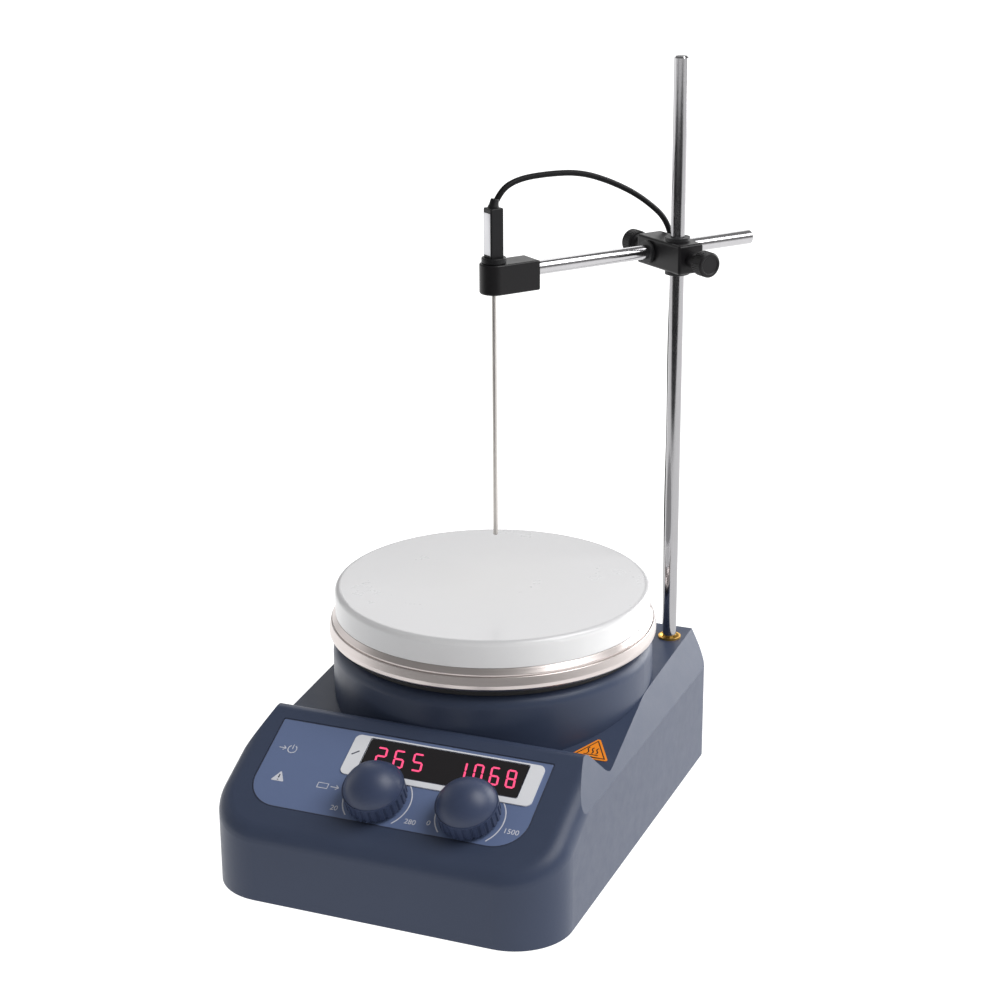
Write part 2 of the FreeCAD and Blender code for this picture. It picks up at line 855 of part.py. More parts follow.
def rod_liner():
    """Sleeve between the rod and the boss head, with a flange above and below."""
    half = boss_height / 2
    gap = running_gap
    tube = rod_z(rod_liner_radius, -half - gap, half + gap)
    for side in (-1, 1):
        low = min(side * (half + gap), side * (half + gap + liner_flange_thickness))
        tube = tube.fuse(rod_z(rod_liner_radius + liner_flange, low, low + liner_flange_thickness))
    tube = tube.cut(rod_z(rod_radius + running_gap, -20, 20)).removeSplitter()
    return tube.translated(vec(rod_x, rod_y, arm_height))


def arm_liner():
    half = boss_depth / 2
    gap = running_gap
    tube = rod_along(arm_liner_radius, vec(-half - gap, 0, 0), vec(half + gap, 0, 0))
    for side in (-1, 1):
        near = side * (half + gap)
        flange = rod_along(arm_liner_radius + liner_flange, vec(near, 0, 0),
                           vec(near + side * liner_flange_thickness, 0, 0))
        tube = tube.fuse(flange)
    bore = rod_along(arm_radius + running_gap, vec(-20, 0, 0), vec(20, 0, 0))
    tube = tube.cut(bore).removeSplitter()
    return on_arm(tube.translated(vec(0, arm_spacing, 0)), vec(rod_x, rod_y, arm_height))


def thumb_screw(start, face, way):
    """Thumb screw along Y from a tip to a head beyond the face of the block."""
    def y(value):
        return way * value
    shank = rod_along(screw_radius, vec(0, y(start), 0), vec(0, y(face + 0.5), 0))
    neck = rod_along(screw_radius + 1.2, vec(0, y(face + 0.4), 0), vec(0, y(face + screw_neck), 0))
    head = rod_along(screw_head_radius, vec(0, y(face + screw_neck), 0),
                     vec(0, y(face + screw_neck + screw_head_length), 0))
    rims = [edge for edge in head.Edges if isinstance(edge.Curve, Part.Circle)]
    head = head.makeChamfer(0.6, rims)
    return shank.fuse(neck).fuse(head).removeSplitter()


def rod_lock_screw():
    screw = thumb_screw(rod_liner_radius + loose_gap, boss_end_rod, -1)
    return on_arm(screw, vec(rod_x, rod_y, arm_height))


def arm_lock_screw():
    screw = thumb_screw(arm_liner_radius + loose_gap, boss_end_arm, 1)
    return on_arm(screw.translated(vec(0, arm_spacing, 0)), vec(rod_x, rod_y, arm_height))


def arm_origin():
    """Point of the arm's axis beside the rod."""
    return vec(rod_x, rod_y, arm_height) + arm_vector(0, arm_spacing)


def sensor_axis():
    """Foot of the sensor's axis on the bench plane."""
    at = arm_origin() + arm_vector(-arm_reach)
    return vec(at.x, at.y, 0)


def cross_arm():
    start = arm_origin() + arm_vector(-arm_reach + holder_length - arm_seat)
    end = arm_origin() + arm_vector(arm_tail)
    arm = rod_along(arm_radius, start, end)
    ends = [edge for edge in arm.Edges if isinstance(edge.Curve, Part.Circle)]
    return arm.makeChamfer(0.6, ends)


def sensor_holder():
    half = holder_width / 2
    tall = holder_high - holder_low
    block_part = block(0, holder_length, -half, half, 0, tall)
    body = block_part.fuse(rod_z(half, 0, tall)).removeSplitter()
    rims = [edge for edge in body.Edges if abs(edge.CenterOfMass.z - tall) < 1e-4]
    rims += [edge for edge in body.Edges if abs(edge.CenterOfMass.z) < 1e-4]
    body = body.makeFillet(0.8, rims)
    body = body.cut(rod_z(probe_radius + running_gap, -1, tall + 1))
    seat = rod_along(arm_radius, vec(holder_length - arm_seat, 0, arm_height - holder_low),
                     vec(holder_length + 1, 0, arm_height - holder_low))
    body = body.cut(seat)
    return on_arm(body, sensor_axis() + vec(0, 0, holder_low))


def sensor_handle():
    """Square handle of the sensor with the round flange that rests on the holder."""
    base = holder_high + running_gap
    top = base + flange_height
    flange = turned([(0, base, 0), (flange_radius, base, 0.3), (flange_radius, top, 0.5),
                     (0, top, 0)])
    half = handle_side / 2
    grip = rounded_box(-half, half, -half, half, top - 0.5, handle_top, handle_round)
    rim = [edge for edge in grip.Edges if min(v.Z for v in edge.Vertexes) > handle_top - 0.01]
    grip = grip.makeFillet(handle_round * 0.8, rim)
    shape = flange.fuse(grip).removeSplitter()
    shape = shape.cut(rod_z(probe_radius, base - 1, base + 6))
    return on_arm(shape, sensor_axis())


def sensor_probe():
    tip = turned([
        (0, probe_tip, 0), (probe_radius, probe_tip, 0.7),
        (probe_radius, holder_high + running_gap + 6, 0), (0, holder_high + running_gap + 6, 0),
    ])
    return tip.translated(sensor_axis())


# ---------------------------------------------------------------- sensor cord
def arch_point(distance, height):
    """A point of the cord above the straight line from the sensor to the cord's drop."""
    start = sensor_axis()
    way = (vec(drop_x, drop_y, 0) - start).normalize()
    at = start + way * distance
    return vec(at.x, at.y, height)


cord_route = [
    arch_point(0.0, handle_top), arch_point(3.2, handle_top + 6.3), arch_point(12.5, 272.4),
    arch_point(28.0, 272.7), arch_point(46.0, 271.2), arch_point(64.0, 264.8),
    arch_point(81.0, 256.0), arch_point(97.2, 243.0), arch_point(99.2, 222.0),
    vec(drop_x - 0.1, drop_y - 0.2, 190.0), vec(drop_x + 0.2, drop_y + 0.3, 152.0),
    vec(drop_x - 0.2, drop_y - 0.2, 114.0), vec(drop_x + 0.2, drop_y + 0.2, 78.0),
    vec(drop_x, drop_y + 0.7, 46.0), vec(drop_x + 0.2, drop_y + 2.9, 20.0),
    vec(drop_x - 0.9, drop_y + 10.6, 2.0), vec(42.2, rear_y + 39.5, 1.3),
    vec(coil_x + lead_in_radius, coil_y, lead_in_height),
]
tail_route = [
    vec(coil_x, coil_y + lead_out_radius, lead_out_height), vec(12.5, rear_y + 72.0, 2.0),
    vec(0.5, rear_y + 69.0, 1.5), vec(-4.5, rear_y + 57.0, 5.5), vec(0.0, rear_y + 44.5, 16.5),
    vec(13.4, rear_y + 34.5, 26.6),
    vec(socket_x, rear_y + 1.5 + plug_length - 1.5, rear_row_height),
]


def corner_arcs(route):
    """For each inner point of a route, the arc that rounds it: start, middle, end, radius."""
    arcs = []
    for before, here, after in zip(route, route[1:], route[2:]):
        back, ahead = before - here, after - here
        run = min(back.Length, ahead.Length)
        back.normalize()
        ahead.normalize()
        half = back.getAngle(ahead) / 2
        reach = 0.45 * run
        radius = reach * math.tan(half)
        middle = (back + ahead).normalize()
        top = here + middle * (radius / math.sin(half) - radius)
        arcs.append((here + back * reach, top, here + ahead * reach, radius))
    return arcs


def cord_tube(route, first, last):
    """Tube from the middle of run `first` to the middle of run `last`, or to the ends."""
    arcs = corner_arcs(route)
    knots = [(route[0], route[0])] + [(a[0], a[2]) for a in arcs] + [(route[-1], route[-1])]
    run_middle = [(knots[i][1] + knots[i + 1][0]) * 0.5 for i in range(len(route) - 1)]
    start = route[0] if first is None else run_middle[first]
    end = route[-1] if last is None else run_middle[last]
    first_corner = 1 if first is None else first + 1
    last_corner = len(route) - 2 if last is None else last
    edges = []
    at = start
    for corner in range(first_corner, last_corner + 1):
        begin, top, finish, _ = arcs[corner - 1]
        edges.append(Part.LineSegment(at, begin).toShape())
        edges.append(Part.Arc(begin, top, finish).toShape())
        at = finish
    edges.append(Part.LineSegment(at, end).toShape())
    path = Part.Wire(edges)
    way = (edges[0].Vertexes[-1].Point - edges[0].Vertexes[0].Point).normalize()
    ring = Part.Wire(Part.makeCircle(cord_radius, start, way))
    return path.makePipeShell([ring], True, False)


def cord_coil():
    """Outer shape of the coil of spare cord that lies on the bench."""
    return ring_z(coil_radius + coil_half_width, coil_radius - coil_half_width, 0.05,
                  coil_height, coil_x, coil_y)


def cord_leads():
    """The two lengths that lie on the bench: into the coil, and from it to the plug."""
    return Part.makeCompound([cord_tube(cord_route, 14, None), cord_tube(tail_route, None, None)])


def hot_label():
    """Thin triangular label on the slope of the deck beside the drum."""
    height = label_side * math.sqrt(3) / 2
    corners = [(-label_side / 2, -height / 3, 1.0), (label_side / 2, -height / 3, 1.0),
               (0, 2 * height / 3, 1.0)]
    lean = math.degrees(math.atan2(deck_bend_height - valley_height, -valley_y))
    sheet = prism(corners, flat_xy(0), vec(0, 0, label_film))
    sheet.rotate(vec(0, 0, 0), UP, label_turn)
    sheet.rotate(vec(0, 0, 0), vec(1, 0, 0), lean)
    height = valley_height + (label_y - valley_y) * math.tan(math.radians(lean))
    return sheet.translated(vec(label_x, label_y, height))


nodes = {
    "housing_shell": housing_shell(),
    "base_plate": base_plate(),
    "feet": feet(),
    "base_screws": base_screws(),
    "pedestal": pedestal(),
    "chassis_disc": chassis_disc(),
    "plate_posts": plate_posts(),
    "heat_collar": heat_collar(),
    "rim_pan": rim_pan(),
    "insulation_pad": insulation_pad(),
    "heating_element": heating_element(),
    "heating_plate": heating_plate(),
    "plate_cover": plate_cover(),
    "plate_sensor": plate_sensor(),
    "safety_thermostat": safety_thermostat(),
    "motor_body": motor_body(),
    "motor_shaft": motor_shaft(),
    "magnet_carrier": magnet_carrier(),
    "drive_magnets": drive_magnets(),
    "panel_label": panel_label(),
    "display_frame": display_frame(),
    "display_window": display_window(),
    "led_module": led_module(),
    "encoder_bodies": encoder_bodies(),
    "encoder_nuts": encoder_nuts(),
    "heat_plunger": encoder_plunger(heat_knob_x),
    "speed_plunger": encoder_plunger(speed_knob_x),
    "heat_stem": encoder_stem(heat_knob_x),
    "speed_stem": encoder_stem(speed_knob_x),
    "heat_knob": control_knob(heat_knob_x),
    "speed_knob": control_knob(speed_knob_x),
    "control_board": control_board(),
    "power_board": power_board(),
    "board_legs": board_legs(),
    "power_parts": power_parts(),
    "rocker_bezel": rocker_bezel(),
    "rocker": rocker(),
    "mains_inlet": mains_inlet(),
    "inlet_pins": inlet_pins(),
    "fuse_holder": fuse_holder(),
    "sensor_socket": sensor_socket(),
    "cord_plug": cord_plug(),
    "rod_bushing": rod_bushing(),
    "hot_label": hot_label(),
    "support_rod": support_rod(),
    "boss_head": boss_head(),
    "rod_liner": rod_liner(),
    "arm_liner": arm_liner(),
    "rod_lock_screw": rod_lock_screw(),
    "arm_lock_screw": arm_lock_screw(),
    "cross_arm": cross_arm(),
    "sensor_holder": sensor_holder(),
    "sensor_handle": sensor_handle(),
    "sensor_probe": sensor_probe(),
    "cord_lift": cord_tube(cord_route, None, 3),
    "cord_reach": cord_tube(cord_route, 3, 5),
    "cord_roll": cord_tube(cord_route, 5, 7),
    "cord_drop": cord_tube(cord_route, 7, 14),
    "cord_coil": cord_coil(),
    "cord_leads": cord_leads(),
}

os.makedirs("parts", exist_ok=True)
for name, shape in nodes.items():
    shape.exportStep("parts/" + name + ".step")
    print(name, len(shape.Solids), "solids", round(shape.Volume, 2), "mm3", shape.isValid())

for route_name, route in (("cord_route", cord_route), ("tail_route", tail_route)):
    radii = [round(arc[3], 1) for arc in corner_arcs(route)]
    print(route_name, "bend radii mm", radii)
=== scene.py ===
# %% [markdown]
# # Heated magnetic stirrer
# The engineering model comes in as a fixed frame: every solid is already in its place, in metres.
# The lesson adds what a solid model lacks: paint, print, light, knurls, lit digits and a cord.
# Each piece is told which moving body carries it, so that it goes along when a joint moves.

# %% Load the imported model
import json
import math
import bmesh
import bpy
from mathutils import Matrix, Vector


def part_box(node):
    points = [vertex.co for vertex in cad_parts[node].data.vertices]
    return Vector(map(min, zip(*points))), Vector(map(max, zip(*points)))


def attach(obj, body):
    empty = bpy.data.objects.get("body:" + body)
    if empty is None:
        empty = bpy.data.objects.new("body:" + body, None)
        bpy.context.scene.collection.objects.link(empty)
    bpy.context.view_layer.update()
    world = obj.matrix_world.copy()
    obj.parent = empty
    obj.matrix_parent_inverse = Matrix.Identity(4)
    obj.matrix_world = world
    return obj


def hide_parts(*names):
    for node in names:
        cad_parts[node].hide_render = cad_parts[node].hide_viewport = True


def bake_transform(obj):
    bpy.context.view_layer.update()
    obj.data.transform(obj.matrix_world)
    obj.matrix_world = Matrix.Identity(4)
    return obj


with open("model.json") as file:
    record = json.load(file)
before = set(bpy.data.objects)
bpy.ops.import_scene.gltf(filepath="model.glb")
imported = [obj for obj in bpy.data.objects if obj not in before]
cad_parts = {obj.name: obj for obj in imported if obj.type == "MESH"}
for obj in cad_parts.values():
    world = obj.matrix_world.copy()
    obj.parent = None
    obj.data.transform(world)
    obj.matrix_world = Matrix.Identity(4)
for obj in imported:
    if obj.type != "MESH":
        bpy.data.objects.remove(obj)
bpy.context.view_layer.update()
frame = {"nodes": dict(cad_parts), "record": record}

# %% [markdown]

# %% [markdown]
# ## Camera
# The stirrer is seen from the front right and from above, with a long lens, so that its upright
# lines stay nearly upright. The direction is worked out from three angles, and the matrix of the
# camera is filled with its right, up and backward directions.

# %% Camera
camera_place = Vector((0.335521, -0.811984, 0.440928))
camera_yaw, camera_pitch, camera_roll = 0.388, 0.333, 0.006
ahead = Vector((-math.sin(camera_yaw) * math.cos(camera_pitch),
                math.cos(camera_yaw) * math.cos(camera_pitch), -math.sin(camera_pitch)))
level = Vector((math.cos(camera_yaw), math.sin(camera_yaw), 0.0))
down = ahead.cross(level)
side = level * math.cos(camera_roll) + down * math.sin(camera_roll)
under = down * math.cos(camera_roll) - level * math.sin(camera_roll)
camera_data = bpy.data.cameras.new("camera")
camera_data.lens = 79.2
camera_data.sensor_width = 36.0
camera = bpy.data.objects.new("camera", camera_data)
bpy.context.scene.collection.objects.link(camera)
turn = Matrix((side, -under, -ahead)).transposed().to_4x4()
camera.matrix_world = Matrix.Translation(camera_place) @ turn
bpy.context.scene.camera = camera
print("camera at", [round(v, 3) for v in camera_place])

# %% [markdown]
# ## Floor and light
# A catalogue picture is lit by large soft boxes in a white room. The key box hangs at the right
# of the plate. A bigger one stands low behind at the right and gives the grey sheen on that side
# of the housing. Two weak ones fill from behind and from the left. The floor is a wide pale
# sheet. A dark card lies on it under the camera, where the camera doesn't see it: it keeps the
# front calm and puts a dark core in the polished rods.

# %% Floor and lights
bpy.context.scene.view_settings.view_transform = "Standard"
world = bpy.data.worlds.new("room")
world.use_nodes = True
world.node_tree.nodes["Background"].inputs["Color"].default_value = (1.0, 1.0, 1.0, 1.0)
world.node_tree.nodes["Background"].inputs["Strength"].default_value = 0.3
bpy.context.scene.world = world


def soft_box(name, place, aim, width, height, watts):
    """A rectangular area light at a place, turned to shine at a point."""
    data = bpy.data.lights.new(name, "AREA")
    data.shape = "RECTANGLE"
    data.size = width
    data.size_y = height
    data.energy = watts
    lamp = bpy.data.objects.new(name, data)
    bpy.context.scene.collection.objects.link(lamp)
    lamp.location = place
    lamp.visible_camera = False
    lamp.rotation_euler = (Vector(aim) - Vector(place)).to_track_quat("-Z", "Y").to_euler()


soft_box("key_box", (0.85, 0.0, 1.15), (0.0, 0.0, 0.08), 0.9, 0.9, 16.5)
soft_box("sheen_box", (0.95, 1.6, 0.50), (0.05, 0.0, 0.06), 1.3, 1.1, 25.0)
soft_box("back_box", (-0.65, 1.3, 1.05), (0.0, 0.0, 0.06), 1.0, 1.0, 5.0)
soft_box("left_box", (-1.3, 0.1, 0.45), (0.0, 0.0, 0.15), 0.8, 0.9, 1.6)
bpy.ops.object.select_all(action="DESELECT")
floor_side, floor_drop = 80.0, 0.0004
bpy.ops.mesh.primitive_grid_add(x_subdivisions=8, y_subdivisions=8, size=floor_side,
                                location=(0.0, 0.0, -floor_drop))
floor = bpy.context.active_object
floor.name = "floor"
bpy.ops.object.select_all(action="DESELECT")
bpy.ops.mesh.primitive_grid_add(x_subdivisions=8, y_subdivisions=4, size=1.0)
card = bpy.context.active_object
card.name = "dark_card"
card_middle, card_size = (0.15, -1.10, 0.0002), (3.0, 1.36, 1, 1)
card.data.transform(Matrix.Translation(card_middle) @ Matrix.Diagonal(card_size))
card.visible_camera = False
print("four soft boxes, a floor and a card")

# %% [markdown]
# ## Shader sums
# A finish is a sum of masks: speckles, streaks, edges. Written as nodes, that is a web that few
# can read, so this small class wraps a socket and lets Python's own signs add the Math nodes.
# `Finish.node` makes any other node from its type, its settings and the values of its sockets.

# %% Shader sums
class Wire:
    """The output of a shader node, usable in ordinary arithmetic."""

    def __init__(self, finish, socket):
        self.finish = finish
        self.socket = socket

    def _math(self, operation, first, second=None):
        values = {0: first} if second is None else {0: first, 1: second}
        return self.finish.node("ShaderNodeMath", {"operation": operation}, values)

    def __add__(self, other):
        return self._math("ADD", self, other)

    __radd__ = __add__

    def __sub__(self, other):
        return self._math("SUBTRACT", self, other)

    def __rsub__(self, other):
        return self._math("SUBTRACT", other, self)

    def __mul__(self, other):
        return self._math("MULTIPLY", self, other)

    __rmul__ = __mul__

    def root(self):
        return self._math("SQRT", self)


class Finish:
    """A material in the making. Its principled shader takes the results."""

    def __init__(self, name):
        self.material = bpy.data.materials.new(name)
        self.material.use_nodes = True
        self.tree = self.material.node_tree
        self.shader = self.tree.nodes["Principled BSDF"]

    def plug(self, socket, value):
        if isinstance(value, Wire):
            self.tree.links.new(value.socket, socket)
        elif isinstance(value, (tuple, list)) and len(value) == 3 and socket.type == "RGBA":
            socket.default_value = (*value, 1.0)
        else:
            socket.default_value = value

    def node(self, kind, settings=None, values=None, out=0):
        made = self.tree.nodes.new(kind)
        for key, value in (settings or {}).items():
            if key == "stops":
                ramp = made.color_ramp
                while len(ramp.elements) < len(value):
                    ramp.elements.new(1.0)
                for element, (place, colour) in zip(ramp.elements, value):
                    element.position = place
                    element.color = (*colour, 1.0)
            else:
                setattr(made, key, value)
        for key, value in (values or {}).items():
            self.plug(made.inputs[key], value)
        return Wire(self, made.outputs[out])

    def set(self, **values):
        for key, value in values.items():
            self.plug(self.shader.inputs[key.replace("_", " ")], value)

    def place(self):
        """Object coordinates, in metres from the plate's axis on the bench."""
        return self.node("ShaderNodeTexCoord", out=3)

    def apart(self, vector):
        """The three numbers of a vector."""
        made = self.node("ShaderNodeSeparateXYZ", None, {0: vector})
        outputs = made.socket.node.outputs
        return [Wire(self, outputs[i]) for i in range(3)]

    def together(self, x, y, z):
        return self.node("ShaderNodeCombineXYZ", None, {0: x, 1: y, 2: z})

    def noise(self, per_metre, detail=2.0, vector=None, rough=0.5):
        return self.node("ShaderNodeTexNoise", None,
                         {"Vector": vector or self.place(), "Scale": per_metre,
                          "Detail": detail, "Roughness": rough})

    def spots(self, per_metre, vector=None):
        return self.node("ShaderNodeTexVoronoi", None,
                         {"Vector": vector or self.place(), "Scale": per_metre})

    def ramp(self, value, *stops):
        return self.node("ShaderNodeValToRGB", {"stops": stops}, {0: value})

    def mix(self, factor, one, other):
        return self.node("ShaderNodeMix", {"data_type": "RGBA"},
                         {0: factor, 6: one, 7: other}, out=2)

    def bump(self, height, strength, distance):
        return self.node("ShaderNodeBump", None, {"Height": height, "Strength": strength,
                                                  "Distance": distance})


def tone(red, green, blue):
    """A colour given as 0 to 255 on a screen, as the linear values that a shader takes."""
    return tuple(round((v / 255 / 12.92) if v < 11 else ((v / 255 + 0.055) / 1.055) ** 2.4, 4)
                 for v in (red, green, blue))


def lighter(colour, share):
    return tuple(min(1.0, v * share) for v in colour)


print("slate blue is", tone(62, 72, 98))

# %% [markdown]
# ## Painted and moulded finishes
# Sprayed paint is never a flat colour: it has a faint orange peel, a slow cloudiness and dust
# that takes the gloss off here and there. Moulded plastic has a finer, spark-eroded grain.
# Both are made by one recipe with different numbers.

# %% Painted and moulded finishes
finishes = {}


def coloured(name, colour, roughness, grain=900.0, depth=0.00004, cloud=0.10, rough_span=0.08,
             coat=0.0, specular=0.4):
    """Paint or plastic: cloudy colour, speckled roughness and a fine grain."""
    made = Finish(name)
    clouds = made.noise(28.0, 3.0)
    fine = made.noise(grain, 3.0)
    dust = made.noise(160.0, 5.0, rough=0.65)
    shade = clouds * 0.6 + dust * 0.4
    made.set(Base_Color=made.mix(shade, lighter(colour, 1.0 - cloud),
                                 lighter(colour, 1.0 + cloud)),
             Roughness=dust * rough_span * 2.0 + (roughness - rough_span),
             Normal=made.bump(fine, 0.35, depth))
    made.shader.inputs["Coat Weight"].default_value = coat
    made.shader.inputs["Coat Roughness"].default_value = 0.12
    made.shader.inputs["Specular IOR Level"].default_value = specular
    finishes[name] = made.material
    return made


coloured("housing_paint", tone(57, 66, 87), 0.38, grain=700.0, depth=0.00005, cloud=0.07,
         specular=0.24)
coloured("label_blue", tone(96, 111, 146), 0.36, grain=2200.0, depth=0.00001, cloud=0.04)
coloured("frame_silver", tone(222, 223, 227), 0.38, grain=2600.0, depth=0.00001, cloud=0.03)
coloured("knob_blue", tone(52, 62, 88), 0.42, grain=1500.0, depth=0.00003, cloud=0.08)
coloured("collar_black", tone(30, 30, 32), 0.6, grain=1200.0)
coloured("base_black", tone(40, 40, 43), 0.55, grain=900.0)
coloured("part_black", tone(32, 32, 34), 0.5, grain=1400.0, depth=0.00003)
coloured("part_white", tone(215, 214, 208), 0.5, grain=1300.0)
coloured("rocker_black", tone(26, 26, 28), 0.25, grain=1800.0, depth=0.00001)
coloured("boss_black", tone(21, 20, 22), 0.33, grain=1500.0, depth=0.00002, cloud=0.15,
         specular=0.22)
coloured("screw_black", tone(22, 21, 23), 0.45, grain=1300.0, cloud=0.15, specular=0.25)
coloured("cord_grip", tone(20, 20, 22), 0.42, grain=1500.0, depth=0.00003, specular=0.22)
coloured("motor_grey", tone(110, 112, 116), 0.45)
coloured("magnet_grey", tone(150, 150, 152), 0.25)
coloured("board_green", tone(32, 92, 56), 0.4, grain=500.0, cloud=0.2)
coloured("foot_rubber", tone(34, 34, 34), 0.8, grain=1000.0, depth=0.00008)
coloured("insulation", tone(205, 200, 188), 0.95, grain=300.0, depth=0.0004, cloud=0.2)
coloured("print_white", tone(205, 206, 214), 0.5, grain=2500.0, depth=0.00001, cloud=0.05)
coloured("print_dark", tone(52, 58, 76), 0.45, grain=2500.0, depth=0.00001, cloud=0.05)
coloured("label_orange", tone(240, 138, 28), 0.4, grain=2200.0, depth=0.00001, cloud=0.05)
coloured("label_black", tone(34, 28, 24), 0.45, grain=2200.0, depth=0.00001, cloud=0.05)
print(len(finishes), "painted and moulded finishes")

# %% [markdown]
# ## White enamel
# The plate is a machined disc under white ceramic enamel. Fired enamel has a glassy coat with
# pinholes and small specks, and turns a little yellow-grey where vessels have stood for years.
# Distance from the axis gives the stain its place, and height tells the top from the wall.
# The top face is given a darker white than the wall: painted shade on the top.

# %% White enamel
enamel = Finish("cover_white")
across, along, up = enamel.apart(enamel.place())
from_axis = (across * across + along * along).root()
worn = enamel.noise(45.0, 6.0, rough=0.62)
middle_stain = enamel.ramp(from_axis * 14.0 + worn * 0.25, (0.25, (1.0, 1.0, 1.0)),
                           (0.85, (0.0, 0.0, 0.0)))
pinholes = enamel.ramp(enamel.spots(120.0, enamel.together(across, along, 0.0)),
                       (0.015, (1.0, 1.0, 1.0)), (0.03, (0.0, 0.0, 0.0)))
wall_white = enamel.mix(worn, tone(220, 220, 221), tone(230, 230, 230))
wall_end, steepness = 0.0984, 500.0
top_shade_mask = enamel.ramp(up * steepness - wall_end * steepness, (0.0, (0.0, 0.0, 0.0)), (0.9, (1.0, 1.0, 1.0)))
# Painted shade: the top face is painted a darker white than the wall.
top_painted_shade = enamel.mix(worn, tone(188, 188, 190), tone(197, 196, 197))
white_with_top_shade = enamel.mix(top_shade_mask, wall_white, top_painted_shade)
stained = enamel.mix(middle_stain * 0.25, white_with_top_shade, tone(190, 188, 185))
enamel.set(Base_Color=enamel.mix(pinholes * 0.35, stained, tone(176, 174, 170)),
           Roughness=worn * 0.16 + 0.22,
           Normal=enamel.bump(enamel.noise(220.0, 2.0), 0.15, 0.00003))
enamel.shader.inputs["Coat Weight"].default_value = 0.25
enamel.shader.inputs["Coat Roughness"].default_value = 0.1
finishes["cover_white"] = enamel.material
print("white enamel done")

# %% [markdown]
# ## Metals
# Turned steel carries the tool's rings, so its streaks follow the distance from the axis and the
# height. Drawn rod is streaked along its length. One recipe makes both: noise on coordinates
# that are stretched along the streak. The cross arm lies flat and is ground plain. Rod and arm
# are one steel, but the rod's copy is given a darker colour: painted shade on the polished rod.

# %% Metals
rod_axis = (0.061, 0.059)
probe_axis = (0.0018, -0.0006)


def metal(name, colour, roughness, streak="round", spread=0.12, centre=(0.0, 0.0), depth=0.00003):
    """Bare metal with tool rings round an axis, or drawn streaks along Z."""
    made = Finish(name)
    x, y, z = made.apart(made.place())
    x, y = x - centre[0], y - centre[1]
    if streak == "round":
        reach = (x * x + y * y).root()
        lines = made.noise(1.0, 4.0, made.together(reach * 2600.0, z * 2600.0, x * 9.0))
    elif streak == "long":
        lines = made.noise(1.0, 4.0, made.together(x * 1800.0, y * 1800.0, z * 22.0))
    else:
        lines = made.noise(700.0, 4.0)
    stains = made.noise(60.0, 5.0, rough=0.65)
    made.set(Base_Color=made.mix(lines * 0.5 + stains * 0.5, lighter(colour, 0.86),
                                 lighter(colour, 1.1)),
             Roughness=lines * spread + stains * 0.10 + roughness,
             Metallic=1.0,
             Normal=made.bump(lines, 0.22, depth))
    finishes[name] = made.material


metal("rim_steel", tone(205, 197, 194), 0.20)
# Painted shade: the rod's steel is a darker copy of the arm's steel.
metal("rod_steel", tone(164, 163, 165), 0.06, "long", 0.05, rod_axis, 0.000004)
metal("arm_steel", tone(186, 185, 187), 0.07, "plain", 0.04, depth=0.000003)
metal("probe_steel", tone(196, 192, 188), 0.2, "long", 0.10, probe_axis, 0.00001)
metal("screw_steel", tone(190, 190, 192), 0.3, "plain")
metal("bracket_steel", tone(176, 178, 180), 0.35, "plain")
metal("plate_alloy", tone(205, 205, 208), 0.3)
metal("heater_metal", tone(120, 108, 96), 0.45)
metal("brass", tone(226, 178, 84), 0.22, "round", 0.12, rod_axis)
print("metals done")

# %% [markdown]
# ## Display and cord finishes
# The display hides behind smoked acrylic, which is nearly black with a hard gloss. The digits
# glow pink-red through it. The cord is silicone, dull with a waxy sheen.

# %% Display and cord finishes
coloured("window_smoke", tone(26, 23, 25), 0.12, grain=1800.0, depth=0.000004, cloud=0.1,
         rough_span=0.03)
glow = Finish("led_glow")
glow_cloud = glow.noise(2600.0, 2.0)
glow.set(Base_Color=tone(120, 10, 40), Roughness=glow_cloud * 0.1 + 0.35,
         Emission_Color=glow.mix(glow_cloud, tone(255, 62, 116), tone(255, 104, 150)))
glow.shader.inputs["Emission Strength"].default_value = 1.1
finishes["led_glow"] = glow.material
coloured("cord_grey", tone(17, 17, 19), 0.5, grain=1600.0, depth=0.00002, cloud=0.15,
         specular=0.1)
coloured("tie_white", tone(225, 225, 222), 0.5)
paper = coloured("floor_paper", tone(110, 110, 110), 0.9, grain=220.0, depth=0.00005, cloud=0.015)
paper.shader.inputs["Emission Color"].default_value = (1.0, 1.0, 1.0, 1.0)
paper.shader.inputs["Emission Strength"].default_value = 1.15
floor.data.materials.append(finishes["floor_paper"])
coloured("card_black", tone(40, 40, 42), 0.9, grain=220.0)
card.data.materials.append(finishes["card_black"])


def dress(piece, finish):
    """Gives every material slot of a piece one finish."""
    piece.data.materials.clear()
    piece.data.materials.append(finishes[finish])


node_slots = {part["node"]: part["material_slot"] for part in frame["record"]["subparts"]}
for node, slot in node_slots.items():
    dress(frame["nodes"][node], slot)
dress(frame["nodes"]["cross_arm"], "arm_steel")
print(len(node_slots), "solids dressed")

# %% [markdown]
# ## The sensor cord
# The cord is one metre of 2.5 mm silicone cable. It leaves the sensor's handle, arches over the
# arm, drops behind the rod, lies on the bench in a small coil and rises to its plug. One NURBS
# spline carries the whole of it, and Blender itself gives the points that the tube follows.
# The turns of the coil are more points of that spline, sixteen a turn, each on a small ring
# that rolls as it goes round, so that the turns lie beside and on each other.

# %% The route of the cord
sensor_foot = Vector((0.00181, -0.00063, 0.0))
drop_line = Vector((0.0504, 0.0849, 0.0))
arch_way = (drop_line - sensor_foot).normalized()
cord_radius = 0.00125


def arch(distance, height):
    """A point of the arch, in millimetres along the way to the drop and above the bench."""
    at = sensor_foot + arch_way * distance / 1000
    return (at.x, at.y, height / 1000)


